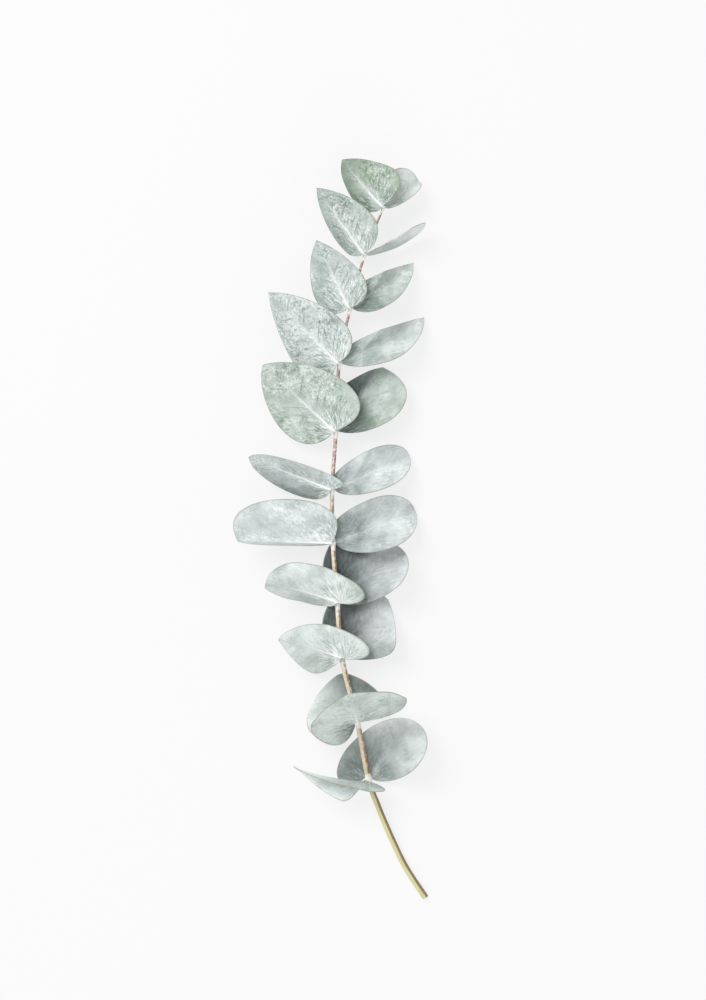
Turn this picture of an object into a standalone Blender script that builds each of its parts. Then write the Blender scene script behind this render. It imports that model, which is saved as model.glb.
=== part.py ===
"""Cut branch of juvenile eucalyptus, lying down: one stem and eleven opposite pairs of stalkless leaves."""

import bpy
import numpy as np

MM = 0.001

# The stem from the cut end to the tip: x, y, z of its axis and its diameter, in millimetres.
STEM = [
    (43.7, -170.0, 1.4, 2.9),
    (34.6, -156.0, 1.8, 2.8),
    (27.6, -141.5, 2.6, 2.8),
    (21.6, -127.0, 4.2, 2.7),
    (17.5, -115.0, 6.5, 2.6),
    (12.3, -88.3, 9.0, 2.4),
    (5.3, -59.3, 9.5, 2.3),
    (3.2, -34.2, 10.0, 2.2),
    (1.2, -7.0, 10.5, 2.0),
    (0.9, 17.5, 10.8, 1.8),
    (2.6, 44.0, 11.0, 1.7),
    (4.1, 75.0, 11.5, 1.5),
    (9.2, 100.0, 12.5, 1.3),
    (15.8, 124.3, 14.5, 1.15),
    (24.2, 145.3, 17.0, 0.95),
]
FIRST_JOINT = 4
STEM_STEPS = 5
AXIS_STEPS = 24
STEM_SIDES = 10
JOINT_SWELLING = 0.28
JOINT_LENGTH = 1.6
TIP_ROUNDING = (0.92, 0.6)

LEAF_THICKNESS = 0.6
MARGIN_THICKNESS = 0.35
MIDRIB_THICKNESS = 0.3
MIDRIB_WIDTH = 0.22
LEAF_TO_STEM = 0.9
LEAF_STATIONS = 13
LEAF_STRIPS = 4
GROUND = 0.3
GROUND_BLEND = 2.5
STEM_BLEND = 0.5
# How the space that a leaf keeps clear beside the stem falls away: a front leaf on the left, a front leaf on
# the right, and a back leaf to the right of what the front leaf covers.
HANG = 0.5
SPREAD = 0.1
RISE = 0.06
SPINE_STEPS = 96
CURL_START = 0.55
OTHER_HALF_TURN = 1.9
# How wide the fold along the midrib is rounded, as a share of the half's width.
ROUNDING = 0.3

# Where the box of the whole branch is centred, so that the branch stands on the origin.
CENTRE_X = 0.7
CENTRE_Y = -2.1

# What a leaf has when its row below doesn't say otherwise. Pairs are (left half, right half), seen from the
# foot towards the point with the leaf's face up. Lengths are in millimetres and angles in degrees.
USUAL = {
    "seat": -60,  # where the foot sits round the stem: 90 is on top, 0 on the right, -90 underneath
    "tip": (0, 30, 0),  # from the foot to the point
    "width": 30,
    "roll": 0,  # lifts the left half and lowers the right one
    "fold": (0, 0),  # how far each half is lifted at the midrib
    "fade": 0,  # how much of the fold is gone at the point
    "cup": (0, 0),  # how far each half curves up towards its margin
    "bow": 0,  # arch along the midrib
    "curl": 0,  # how far the outer half lifts towards the point
    "lobe": (0.2, 0.2),  # heart-shaped foot
    "ear": (0, 0),  # long ear of the foot
    "acute": (0.12, 0.12),  # drawn-out point
    "ovate": (0.12, 0.12),  # broader towards the foot
    "skew": 0,  # how much wider the left half is
    "wave": 0.4,
    "wave_turn": 0,
    "under": 6,  # how far to the right of the stem a back leaf stays under the front one
}

# Pair 1 is the lowest pair and pair 11 the top one.
FRONT = {
    1: dict(seat=165, tip=(-32, 6.5, 4), width=24, roll=-38, fold=(64, 64), cup=(4, 6), lobe=(-0.05, 0.6),
            ear=(0, 0.1), acute=(0.46, 0.12), ovate=(0.05, 0.12)),
    2: dict(seat=90, tip=(-3.5, 15.5, 33), width=45, fold=(11, 1), cup=(-10, -10), lobe=(0.25, 0.25),
            skew=-0.07),
    3: dict(seat=100, tip=(-28.2, 8.8, 8), width=26.7, skew=0.05, roll=-8, fold=(-28, -28), cup=(-6, -4),
            lobe=(0, 0), ear=(0, 0.85), acute=(0.42, 0.02), ovate=(0, 0.42)),
    4: dict(seat=100, tip=(-32, 8.4, 8), width=29.1, skew=0.015, roll=-29, fold=(-41, -39), cup=(-6, -4),
            lobe=(0.1, 0), ear=(0, 0.75), acute=(0.02, -0.06), ovate=(0, 0.15)),
    5: dict(seat=110, tip=(-42, 1, 9), width=32, skew=-0.27, fold=(-76, -10), cup=(-15, -8), lobe=(0, 0.3),
            acute=(0.15, -0.25), ovate=(0, 0.05)),
    6: dict(seat=120, tip=(-36.5, 14.5, 10), width=29, roll=2, fold=(-54, -59), cup=(-8, -6),
            lobe=(0.15, 0.5)),
    7: dict(seat=120, tip=(-32, 29.5, 10), width=38.5, skew=-0.04, fold=(-26, -4), cup=(-12, -6),
            lobe=(0.1, 0.3), acute=(0.2, 0.26), ovate=(0.08, 0.05)),
    8: dict(seat=120, tip=(-31, 31, 11), width=31, fold=(-14, -8), cup=(-10, -10), lobe=(0.25, 0.15),
            acute=(0.4, 0.28), ovate=(0.05, 0.05)),
    9: dict(seat=120, tip=(-14.5, 29.5, 9), width=25.5, fold=(-18, -12), cup=(-10, -10), lobe=(0.15, 0.15),
            acute=(0.25, 0.32), ovate=(0.08, 0.08)),
    10: dict(seat=120, tip=(-21, 28.5, 9), width=28, fold=(-64, -8), cup=(-6, -10), lobe=(0.15, 0.1),
             acute=(0.3, 0.3), ovate=(0.12, 0), fade=0.1),
    11: dict(seat=120, tip=(-18, 20, 8), width=25.6, skew=-0.25, fold=(-40, -8), cup=(-8, -10), curl=20,
             fade=0.2, acute=(0.3, 0.3), ovate=(-0.05, 0.16), lobe=(0.15, 0.1)),
}
BACK = {
    1: dict(seat=-60, tip=(18, 27, -3), width=37, skew=-0.06, roll=-15, fold=(28, 28), cup=(6, 6),
            lobe=(0.5, 0), ear=(0.2, 0), acute=(0.15, -0.1), ovate=(0.1, -0.05)),
    2: dict(seat=-100, tip=(-17.5, 12.5, 8), width=34.5, fold=(6, 4), cup=(8, 8), curl=80, lobe=(0.3, 0.7),
            acute=(-0.1, -0.15), ovate=(0.05, 0.05)),
    3: dict(seat=-70, tip=(20.5, 26, -8), width=39, skew=0.06, roll=-4, fold=(8, 24), cup=(8, 8),
            lobe=(0.15, -0.15), acute=(-0.1, 0.25), ovate=(-0.05, 0.1), under=14),
    4: dict(seat=-70, tip=(26.5, 26, -8), width=41, roll=-16, fold=(20, 26), cup=(6, 6), lobe=(0.05, -0.1),
            acute=(0, -0.05), ovate=(-0.05, 0), skew=0.08, under=14),
    5: dict(tip=(37, 14, -8), width=32, roll=-8, fold=(44, 38), cup=(8, 8), lobe=(0.2, 0),
            acute=(0, 0.05), ovate=(-0.05, -0.05), fade=0.2),
    6: dict(tip=(34.5, 15.5, -8.5), width=26.5, roll=-3, fold=(46, 44), cup=(8, 8), lobe=(0.15, 0),
            acute=(0.02, 0.05), ovate=(-0.05, -0.05), fade=0.2),
    7: dict(tip=(20.5, 29.5, -8), width=37.5, roll=20, fold=(31, 36), cup=(4, 4), lobe=(0.1, -0.1),
            acute=(0.3, -0.08), ovate=(0.2, -0.15), under=12),
    8: dict(tip=(38, 21.5, -9), width=27, roll=12, fold=(52, 48), cup=(6, 6), lobe=(0.1, -0.1),
            acute=(0.35, 0.15), ovate=(0.3, -0.1)),
    9: dict(tip=(28, 21.5, -10), width=25, roll=5, fold=(52, 44), cup=(6, 6), lobe=(0.1, 0),
            acute=(0.35, 0.2), ovate=(0.3, 0)),
    10: dict(tip=(27, 14.5, -3), width=17.5, roll=80, fold=(8, 8), lobe=(0, 0), acute=(0.05, 0.05),
             ovate=(-0.3, -0.3), wave=0.1),
    11: dict(tip=(15.5, 13, -9), width=15.5, skew=0.45, fold=(18, 24), cup=(8, 8), lobe=(0.1, 0),
             acute=(-0.08, -0.08), ovate=(-0.1, -0.05)),
}

FRONT_COLOUR = (0.58, 0.66, 0.62, 1)
BACK_COLOUR = (0.52, 0.61, 0.58, 1)
STEM_COLOUR = (0.52, 0.45, 0.36, 1)
LEAF_ROUGHNESS = 0.55
STEM_ROUGHNESS = 0.7


def smooth(x):
    x = np.clip(x, 0, 1)
    return x * x * (3 - 2 * x)


def stem_curve(steps):
    """The stem's axis points and radii, smooth through every row of STEM."""
    rows = np.array(STEM)
    before = np.vstack([2 * rows[0] - rows[1], rows[:-1]])
    after = np.vstack([rows[1:], 2 * rows[-1] - rows[-2]])
    slope = (after - before) / 2
    found = []
    for i in range(len(rows) - 1):
        for u in np.arange(steps) / steps:
            found.append(
                rows[i] * (2 * u**3 - 3 * u**2 + 1)
                + slope[i] * (u**3 - 2 * u**2 + u)
                + rows[i + 1] * (3 * u**2 - 2 * u**3)
                + slope[i + 1] * (u**3 - u**2)
            )
    found.append(rows[-1])
    found = np.array(found)
    return found[:, :3], found[:, 3] / 2


AXIS, RADIUS = stem_curve(AXIS_STEPS)
LEAN = np.gradient(AXIS[:, 0], AXIS[:, 1])


def clear_of_stem(points, side, under):
    """Leaves in front of the stem pass over it and leaves behind pass under it."""
    y = points[..., 1]
    across = (points[..., 0] - np.interp(y, AXIS[:, 1], AXIS[:, 0])) / np.hypot(
        1, np.interp(y, AXIS[:, 1], LEAN)
    )
    beyond = np.maximum(y - AXIS[-1, 1], 0)
    reach = np.interp(y, AXIS[:, 1], RADIUS) + LEAF_TO_STEM + JOINT_SWELLING
    u = np.hypot(across, beyond) / reach
    past = np.maximum(u, 1)
    wall = side * np.interp(y, AXIS[:, 1], AXIS[:, 2]) + reach
    if side > 0:
        drop = np.where(across < 0, HANG * (past**2 - 1), SPREAD * (past - 1))
        wall = wall - reach * drop
    else:
        wall = wall - RISE * np.maximum(across - under, 0) ** 2
    height = side * points[..., 2]
    height = wall + 0.5 * ((height - wall) + np.sqrt((height - wall) ** 2 + STEM_BLEND**2))
    points[..., 2] = side * height


def leaf_points(leaf, joint, radius, side, t, s):
    """Points of the leaf's middle surface: t runs from the foot to the point, s from margin to margin."""
    tip = np.array(leaf["tip"], float)
    chord = np.linalg.norm(tip)
    left = s >= 0

    def half(name):
        return np.where(left, leaf[name][0], leaf[name][1])

    along = np.linspace(0, 1, SPINE_STEPS + 1)
    bend = np.radians(leaf["bow"]) * (0.5 - along)
    bend = bend + np.radians(leaf["curl"]) * smooth((along - CURL_START) / (1 - CURL_START))
    middle = (bend[1:] + bend[:-1]) / 2
    spine_x = np.concatenate([[0], np.cumsum(np.cos(middle))]) / SPINE_STEPS
    spine_z = np.concatenate([[0], np.cumsum(np.sin(middle))]) / SPINE_STEPS
    length = chord / np.hypot(spine_x[-1], spine_z[-1])
    dip = np.arctan2(spine_z[-1], spine_x[-1])

    phi = np.pi * t
    near = (1 + np.cos(phi)) / 2
    far = (1 - np.cos(phi)) / 2
    edge_x = far - np.sin(phi) * (half("lobe") * near + half("acute") * far)
    edge_x = edge_x - half("ear") * np.sqrt(np.abs(np.sin(phi))) * near**4
    edge_y = leaf["width"] / length / 2 * np.sin(phi) * (1 + half("ovate") * np.cos(phi))
    x = far + (edge_x - far) * np.abs(s)
    reach = edge_y * np.abs(s) * np.where(left, 1 + leaf["skew"], 1 - leaf["skew"])
    half_width = leaf["width"] / length / 2
    fold = np.radians(half("fold")) * (1 - leaf["fade"] * smooth(x))
    cup = np.radians(half("cup")) / half_width
    cup = np.where(np.abs(cup) < 1e-6, 1e-6, cup)
    y = (np.sin(fold + cup * reach) - np.sin(fold)) / cup * np.where(left, 1, -1)
    rise = (np.cos(fold) - np.cos(fold + cup * reach)) / cup
    sharp = np.abs(np.sin(fold)) * reach
    crease = np.abs(np.sin(np.radians(leaf["fold"]))).mean()
    soft = ROUNDING * crease * half_width * np.sin(phi)
    rise = rise + np.sign(sum(leaf["fold"])) * (np.sqrt(sharp**2 + soft**2) - sharp)
    ripple = np.sin(4 * np.pi * x + leaf["wave_turn"] + np.where(left, 0, OTHER_HALF_TURN))
    rise = rise + leaf["wave"] / length * (reach / half_width) ** 2 * ripple

    here = np.interp(x, along, bend)
    before = np.minimum(x, 0)
    after = np.maximum(x - 1, 0)
    out = np.interp(x, along, spine_x) + before * np.cos(bend[0]) + after * np.cos(bend[-1])
    up = np.interp(x, along, spine_z) + before * np.sin(bend[0]) + after * np.sin(bend[-1])
    out = out - np.sin(here) * rise
    up = up + np.cos(here) * rise
    out, up = out * np.cos(dip) + up * np.sin(dip), up * np.cos(dip) - out * np.sin(dip)

    forward = tip / chord
    face = np.array([0, 0, 1]) - forward * forward[2]
    face = face / np.linalg.norm(face)
    left_way = np.cross(face, forward)
    roll = np.radians(leaf["roll"])
    left_way, face = (
        np.cos(roll) * left_way + np.sin(roll) * face,
        np.cos(roll) * face - np.sin(roll) * left_way,
    )
    seat = np.radians(leaf["seat"])
    foot = joint + (radius + LEAF_TO_STEM) * np.array([np.cos(seat), 0, np.sin(seat)])
    points = foot + length * (
        out[..., None] * forward + y[..., None] * left_way + up[..., None] * face
    )
    clear_of_stem(points, side, leaf["under"])
    low = points[..., 2] - GROUND
    points[..., 2] = GROUND + 0.5 * (low + np.sqrt(low**2 + (GROUND_BLEND / 2) ** 2))
    return points


def add_node(name, points, faces, colour, roughness):
    mesh = bpy.data.meshes.new(name)
    shift = np.array([CENTRE_X, CENTRE_Y, 0])
    mesh.from_pydata([tuple(p) for p in (points - shift) * MM], [], faces)
    mesh.validate()
    material = bpy.data.materials.new(name)
    material.use_nodes = True
    shader = material.node_tree.nodes["Principled BSDF"]
    shader.inputs["Base Color"].default_value = colour
    shader.inputs["Roughness"].default_value = roughness
    shader.inputs["Metallic"].default_value = 0
    mesh.materials.append(material)
    node = bpy.data.objects.new(name, mesh)
    bpy.context.scene.collection.objects.link(node)


def add_leaf(name, row, pair, side, colour):
    """A closed leaf blade: two skins half a thickness off the middle surface, joined round the margin."""
    leaf = {**USUAL, **row}
    joint = STEM[FIRST_JOINT + pair - 1]
    stations = np.linspace(0, 1, LEAF_STATIONS + 1)[1:-1]
    strips = np.linspace(-1, 1, 2 * LEAF_STRIPS + 1)
    step = 1e-3

    def surface(t, s):
        return leaf_points(leaf, np.array(joint[:3]), joint[3] / 2, side, t, s)

    t, s = np.meshgrid(stations, strips, indexing="ij")
    centre = surface(t, s)
    along = surface(t + step, s) - surface(t - step, s)
    inner = np.where(np.abs(s) > step, s * (1 - step), step)
    outer = np.where(np.abs(s) > step, s * (1 + step), -step)
    across = surface(t, outer) - surface(t, inner)
    across = np.where((np.abs(s) > step)[..., None], across * np.sign(s)[..., None], -across)
    normal = np.cross(along, across)
    normal = normal / np.linalg.norm(normal, axis=-1, keepdims=True)
    ends = surface(np.array([0.0, 1.0]), np.array([0.0, 0.0]))
    end_normals = normal[[0, -1], LEAF_STRIPS]

    thickness = MARGIN_THICKNESS + (LEAF_THICKNESS - MARGIN_THICKNESS) * (1 - np.abs(strips) ** 2)
    thickness = thickness + MIDRIB_THICKNESS * np.exp(-((strips / MIDRIB_WIDTH) ** 2))
    lift = (thickness / 2)[None, :, None] * normal
    end_lift = MARGIN_THICKNESS / 2 * end_normals
    count = centre.shape[0] * centre.shape[1]
    points = np.vstack(
        [(centre + lift).reshape(-1, 3), (centre - lift).reshape(-1, 3), ends + end_lift, ends - end_lift]
    )
    wide = len(strips)

    def top(i, j):
        if i < 0:
            return 2 * count
        if i >= len(stations):
            return 2 * count + 1
        return i * wide + j

    def bottom(i, j):
        if i < 0 or i >= len(stations):
            return top(i, j) + 2
        return count + i * wide + j

    faces = []
    for i in range(-1, len(stations)):
        for j in range(wide - 1):
            ring = [top(i, j), top(i + 1, j), top(i + 1, j + 1), top(i, j + 1)]
            under = [bottom(i, j), bottom(i, j + 1), bottom(i + 1, j + 1), bottom(i + 1, j)]
            faces += [list(dict.fromkeys(ring)), list(dict.fromkeys(under))]
        faces.append([top(i, 0), bottom(i, 0), bottom(i + 1, 0), top(i + 1, 0)])
        last = wide - 1
        faces.append([top(i, last), top(i + 1, last), bottom(i + 1, last), bottom(i, last)])
    add_node(name, points, faces, colour, LEAF_ROUGHNESS)


def add_stem():
    """The stem as one tube, swollen at each joint, square at the cut end and rounded at the tip."""
    axis, radius = stem_curve(STEM_STEPS)
    joints = np.array(STEM)[FIRST_JOINT:, :3]
    for joint in joints:
        away = np.linalg.norm(axis - joint, axis=1)
        radius = radius + JOINT_SWELLING * np.exp(-((away / JOINT_LENGTH) ** 2))
    along = np.gradient(axis, axis=0)
    along = along / np.linalg.norm(along, axis=1, keepdims=True)
    right = np.cross(along, [0, 0, 1])
    right = right / np.linalg.norm(right, axis=1, keepdims=True)
    up = np.cross(right, along)
    axis = np.vstack([axis, axis[-1] + along[-1] * radius[-1] * TIP_ROUNDING[1]])
    radius = np.append(radius, radius[-1] * TIP_ROUNDING[1])
    radius[-2] = radius[-2] * TIP_ROUNDING[0]
    right = np.vstack([right, right[-1]])
    up = np.vstack([up, up[-1]])
    turns = np.linspace(0, 2 * np.pi, STEM_SIDES, endpoint=False)
    rings = axis[:, None] + radius[:, None, None] * (
        np.cos(turns)[None, :, None] * right[:, None] + np.sin(turns)[None, :, None] * up[:, None]
    )
    faces = []
    for i in range(len(axis) - 1):
        for j in range(STEM_SIDES):
            k = (j + 1) % STEM_SIDES
            a, b = i * STEM_SIDES, (i + 1) * STEM_SIDES
            faces.append([a + j, b + j, b + k, a + k])
    faces.append(list(range(STEM_SIDES)))
    faces.append([(len(axis) - 1) * STEM_SIDES + j for j in range(STEM_SIDES)][::-1])
    add_node("stem", rings.reshape(-1, 3), faces, STEM_COLOUR, STEM_ROUGHNESS)


for old in list(bpy.data.objects):
    bpy.data.objects.remove(old)

add_stem()
for pair, row in FRONT.items():
    add_leaf(f"leaf_front_{pair:02d}", row, pair, 1, FRONT_COLOUR)
for pair, row in BACK.items():
    add_leaf(f"leaf_back_{pair:02d}", row, pair, -1, BACK_COLOUR)
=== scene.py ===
"""Looks of a cut branch of juvenile eucalyptus lying on a table: waxy leaf blades with raised ribs and a
barked stem with crusty joints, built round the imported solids."""

import bpy
import numpy as np
from bpy.props import FloatProperty, FloatVectorProperty, IntProperty, PointerProperty
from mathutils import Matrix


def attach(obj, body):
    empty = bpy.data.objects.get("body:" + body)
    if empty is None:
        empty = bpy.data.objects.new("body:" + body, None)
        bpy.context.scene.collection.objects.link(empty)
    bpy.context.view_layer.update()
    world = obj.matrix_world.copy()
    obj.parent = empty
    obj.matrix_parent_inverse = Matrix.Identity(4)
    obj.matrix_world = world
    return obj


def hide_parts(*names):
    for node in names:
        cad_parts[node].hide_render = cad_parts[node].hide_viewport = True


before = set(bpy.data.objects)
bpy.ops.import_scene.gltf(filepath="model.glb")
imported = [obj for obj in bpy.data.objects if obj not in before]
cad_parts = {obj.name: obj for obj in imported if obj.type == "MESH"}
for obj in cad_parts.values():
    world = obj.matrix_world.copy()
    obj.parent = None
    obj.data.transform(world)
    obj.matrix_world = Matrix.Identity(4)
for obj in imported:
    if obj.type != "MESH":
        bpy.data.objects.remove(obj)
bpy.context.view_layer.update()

bl_info = {
    "name": "Eucalyptus Branch",
    "version": (1, 0, 0),
    "blender": (4, 5, 0),
    "location": "View3D > Sidebar > Branch",
    "description": "Builds a cut eucalyptus branch with waxy leaves round its packed solids",
    "category": "Add Mesh",
}

MM = 0.001

# The stem from the cut end to the tip: x, y, z of its axis and its diameter, in millimetres.
STEM = [
    (43.7, -170.0, 1.4, 2.9),
    (34.6, -156.0, 1.8, 2.8),
    (27.6, -141.5, 2.6, 2.8),
    (21.6, -127.0, 4.2, 2.7),
    (17.5, -115.0, 6.5, 2.6),
    (12.3, -88.3, 9.0, 2.4),
    (5.3, -59.3, 9.5, 2.3),
    (3.2, -34.2, 10.0, 2.2),
    (1.2, -7.0, 10.5, 2.0),
    (0.9, 17.5, 10.8, 1.8),
    (2.6, 44.0, 11.0, 1.7),
    (4.1, 75.0, 11.5, 1.5),
    (9.2, 100.0, 12.5, 1.3),
    (15.8, 124.3, 14.5, 1.15),
    (24.2, 145.3, 17.0, 0.95),
]
FIRST_JOINT = 4
CENTRE = (0.7, -2.1, 0.0)

# How far a leaf stays off the stem, how the space that it keeps clear falls away beside the stem, and how it
# comes to rest on the ground.
LEAF_TO_STEM = 0.9
JOINT_SWELLING = 0.28
STEM_BLEND = 0.5
HANG = 0.5
SPREAD = 0.1
RISE = 0.06
GROUND = 0.3
GROUND_BLEND = 2.5
SPINE_STEPS = 96
CURL_START = 0.55
OTHER_HALF_TURN = 1.9
ROUNDING = 0.3

# What a leaf has when its row below doesn't say otherwise. Pairs are (left half, right half), seen from the
# foot towards the point with the leaf's face up. Lengths are in millimetres and angles in degrees.
USUAL = {
    "seat": -60,  # where the foot sits round the stem: 90 is on top, 0 on the right, -90 underneath
    "tip": (0, 30, 0),  # from the foot to the point
    "width": 30,
    "roll": 0,  # lifts the left half and lowers the right one
    "fold": (0, 0),  # how far each half is lifted at the midrib
    "fade": 0,  # how much of the fold is gone at the point
    "cup": (0, 0),  # how far each half curves up towards its margin
    "curl": 0,  # how far the outer half lifts towards the point
    "lobe": (0.2, 0.2),  # heart-shaped foot
    "ear": (0, 0),  # long ear of the foot
    "acute": (0.12, 0.12),  # drawn-out point
    "ovate": (0.12, 0.12),  # broader towards the foot
    "skew": 0,  # how much wider the left half is
    "wave": 0.4,
    "under": 6,  # how far to the right of the stem a back leaf stays under the front one
}

# Pair 1 is the lowest pair and pair 11 the top one.
FRONT = {
    1: dict(seat=165, tip=(-32, 6.5, 4), width=24, roll=-38, fold=(64, 64), cup=(4, 6), lobe=(-0.05, 0.6),
            ear=(0, 0.1), acute=(0.46, 0.12), ovate=(0.05, 0.12)),
    2: dict(seat=90, tip=(-3.5, 15.5, 33), width=45, fold=(11, 1), cup=(-10, -10), lobe=(0.25, 0.25),
            skew=-0.07),
    3: dict(seat=100, tip=(-28.2, 8.8, 8), width=26.7, skew=0.05, roll=-8, fold=(-28, -28), cup=(-6, -4),
            lobe=(0, 0), ear=(0, 0.85), acute=(0.42, 0.02), ovate=(0, 0.42)),
    4: dict(seat=100, tip=(-32, 8.4, 8), width=29.1, skew=0.015, roll=-29, fold=(-41, -39), cup=(-6, -4),
            lobe=(0.1, 0), ear=(0, 0.75), acute=(0.02, -0.06), ovate=(0, 0.15)),
    5: dict(seat=110, tip=(-42, 1, 9), width=32, skew=-0.27, fold=(-76, -10), cup=(-15, -8), lobe=(0, 0.3),
            acute=(0.15, -0.25), ovate=(0, 0.05)),
    6: dict(seat=120, tip=(-36.5, 14.5, 10), width=29, roll=2, fold=(-54, -59), cup=(-8, -6),
            lobe=(0.15, 0.5)),
    7: dict(seat=120, tip=(-32, 29.5, 10), width=38.5, skew=-0.04, fold=(-26, -4), cup=(-12, -6),
            lobe=(0.1, 0.3), acute=(0.2, 0.26), ovate=(0.08, 0.05)),
    8: dict(seat=120, tip=(-31, 31, 11), width=31, fold=(-14, -8), cup=(-10, -10), lobe=(0.25, 0.15),
            acute=(0.4, 0.28), ovate=(0.05, 0.05)),
    9: dict(seat=120, tip=(-14.5, 29.5, 9), width=25.5, fold=(-18, -12), cup=(-10, -10), lobe=(0.15, 0.15),
            acute=(0.25, 0.32), ovate=(0.08, 0.08)),
    10: dict(seat=120, tip=(-21, 28.5, 9), width=28, fold=(-64, -8), cup=(-6, -10), lobe=(0.15, 0.1),
             acute=(0.3, 0.3), ovate=(0.12, 0), fade=0.1),
    11: dict(seat=120, tip=(-18, 20, 8), width=25.6, skew=-0.25, fold=(-40, -8), cup=(-8, -10), curl=20,
             fade=0.2, acute=(0.3, 0.3), ovate=(-0.05, 0.16), lobe=(0.15, 0.1)),
}
BACK = {
    1: dict(seat=-60, tip=(18, 27, -3), width=37, skew=-0.06, roll=-15, fold=(28, 28), cup=(6, 6),
            lobe=(0.5, 0), ear=(0.2, 0), acute=(0.15, -0.1), ovate=(0.1, -0.05)),
    2: dict(seat=-100, tip=(-17.5, 12.5, 8), width=34.5, fold=(6, 4), cup=(8, 8), curl=80, lobe=(0.3, 0.7),
            acute=(-0.1, -0.15), ovate=(0.05, 0.05)),
    3: dict(seat=-70, tip=(20.5, 26, -8), width=39, skew=0.06, roll=-4, fold=(8, 24), cup=(8, 8),
            lobe=(0.15, -0.15), acute=(-0.1, 0.25), ovate=(-0.05, 0.1), under=14),
    4: dict(seat=-70, tip=(26.5, 26, -8), width=41, roll=-16, fold=(20, 26), cup=(6, 6), lobe=(0.05, -0.1),
            acute=(0, -0.05), ovate=(-0.05, 0), skew=0.08, under=14),
    5: dict(tip=(37, 14, -8), width=32, roll=-8, fold=(44, 38), cup=(8, 8), lobe=(0.2, 0),
            acute=(0, 0.05), ovate=(-0.05, -0.05), fade=0.2),
    6: dict(tip=(34.5, 15.5, -8.5), width=26.5, roll=-3, fold=(46, 44), cup=(8, 8), lobe=(0.15, 0),
            acute=(0.02, 0.05), ovate=(-0.05, -0.05), fade=0.2),
    7: dict(tip=(20.5, 29.5, -8), width=37.5, roll=20, fold=(31, 36), cup=(4, 4), lobe=(0.1, -0.1),
            acute=(0.3, -0.08), ovate=(0.2, -0.15), under=12),
    8: dict(tip=(38, 21.5, -9), width=27, roll=12, fold=(52, 48), cup=(6, 6), lobe=(0.1, -0.1),
            acute=(0.35, 0.15), ovate=(0.3, -0.1)),
    9: dict(tip=(28, 21.5, -10), width=25, roll=5, fold=(52, 44), cup=(6, 6), lobe=(0.1, 0),
            acute=(0.35, 0.2), ovate=(0.3, 0)),
    10: dict(tip=(27, 14.5, -3), width=17.5, roll=80, fold=(8, 8), lobe=(0, 0), acute=(0.05, 0.05),
             ovate=(-0.3, -0.3), wave=0.1),
    11: dict(tip=(15.5, 13, -9), width=15.5, skew=0.45, fold=(18, 24), cup=(8, 8), lobe=(0.1, 0),
             acute=(-0.08, -0.08), ovate=(-0.1, -0.05)),
}

# Wax on each leaf, from the lowest pair up: how thick it is, how patchy it is and how green the blade is.
# Then painted shade, standing for the shadow of the stem and the leaves above: how dark the blade gets
# towards the stem, how far from the foot that reaches, in millimetres, and how much darker its left half is
# (a negative number is for the right half).
FRONT_FINISH = {
    1: (0.94, 0.20, 0.30, 0.05, 27, 0),
    2: (0.84, 0.62, 0.55, 0.30, 12, 0),
    3: (0.88, 0.30, 0.30, 0.05, 27, 0),
    4: (0.73, 0.35, 0.30, 0.05, 27, 0),
    5: (0.72, 0.40, 0.00, 0.05, 27, 0),
    6: (0.58, 0.65, 0.10, 0.40, 20, 0.8),
    7: (0.56, 0.75, 0.65, 0.05, 27, 0),
    8: (0.69, 1.00, 0.25, 0.05, 27, 0),
    9: (0.54, 0.85, 0.25, 0.05, 27, 0),
    10: (0.56, 1.00, 0.40, 0.18, 18, 1.0),
    11: (0.37, 0.80, 0.95, 0.38, 18, 1.0),
}
BACK_FINISH = {
    1: (0.87, 0.30, 0.15, 0.52, 40, 0.1),
    2: (0.89, 0.25, 0.35, 0.72, 15, -0.7),
    3: (0.88, 0.45, 0.05, 0.92, 38, 0.9),
    4: (0.80, 0.45, 0.00, 0.94, 44, 1.0),
    5: (0.71, 0.40, 0.00, 0.42, 30, 0.1),
    6: (0.72, 0.40, 0.00, 0.12, 26, 0),
    7: (0.46, 0.50, 0.55, 1.00, 30, 1.8),
    8: (0.60, 0.45, 0.25, 0.22, 26, 0.1),
    9: (0.52, 0.55, 0.45, 0.30, 28, 0.35),
    10: (0.84, 0.30, 0.30, 0.08, 27, 0),
    11: (0.88, 0.40, 0.40, 0.10, 27, 0),
}

# Lateral veins, on a blade whose places run from 0 at the foot to 1 at the point and 0 at the midrib to 1 at
# the margin: how many there are, how they crowd towards the foot, how far each sweeps forward, and how
# unevenly they are set.
VEIN_COUNT = 9
VEIN_CROWDING = 1.5
VEIN_SWEEP = 0.42
VEIN_STRAIGHTENING = 0.24
VEIN_BEND = 0.8
VEIN_UNEVENNESS = 0.26
VEIN_RHYTHM = 2.3
VEIN_END = 0.6
VEIN_POINTS = 26
MIDRIB_POINTS = 60

# The relief of a blade, in millimetres: how wide the keel over the midrib is and how far from the midrib the
# blade stays calm. Then, as shares: how much of the keel is gone at the point, how wide the calm band along
# the margin is, and where quilting starts to die out and how soon it is gone.
KEEL_WIDTH = 1.3
CALM_BESIDE_RIB = 3
KEEL_FADE = 0.85
CALM_MARGIN = 0.25
QUILT_START = 0.2
QUILT_LENGTH = 0.4

# Ribs as shares of the blade: where the midrib leaves the stem and where it ends, with LEAD_POINTS of it
# inside the stem. A lateral vein is drawn where it lies between VEIN_FIRST and VEIN_LAST.
RIB_START = 0.012
RIB_STOP = 0.97
LEAD_POINTS = 5
VEIN_FIRST = 0.02
VEIN_LAST = 0.95
# How thick ribs are where they end, as a share, and how quickly they thin out.
RIB_END = 0.12
RIB_TAPER = 1.3
VEIN_THIN_END = 0.15
VEIN_TAPER = 1.6

# Swelling, collar and wax crust round a joint, as half-widths in millimetres, and the crust between joints.
SWELLING_WIDTH = 1.5
COLLAR_WIDTH = 0.55
THIN_CRUST = 0.012

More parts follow.
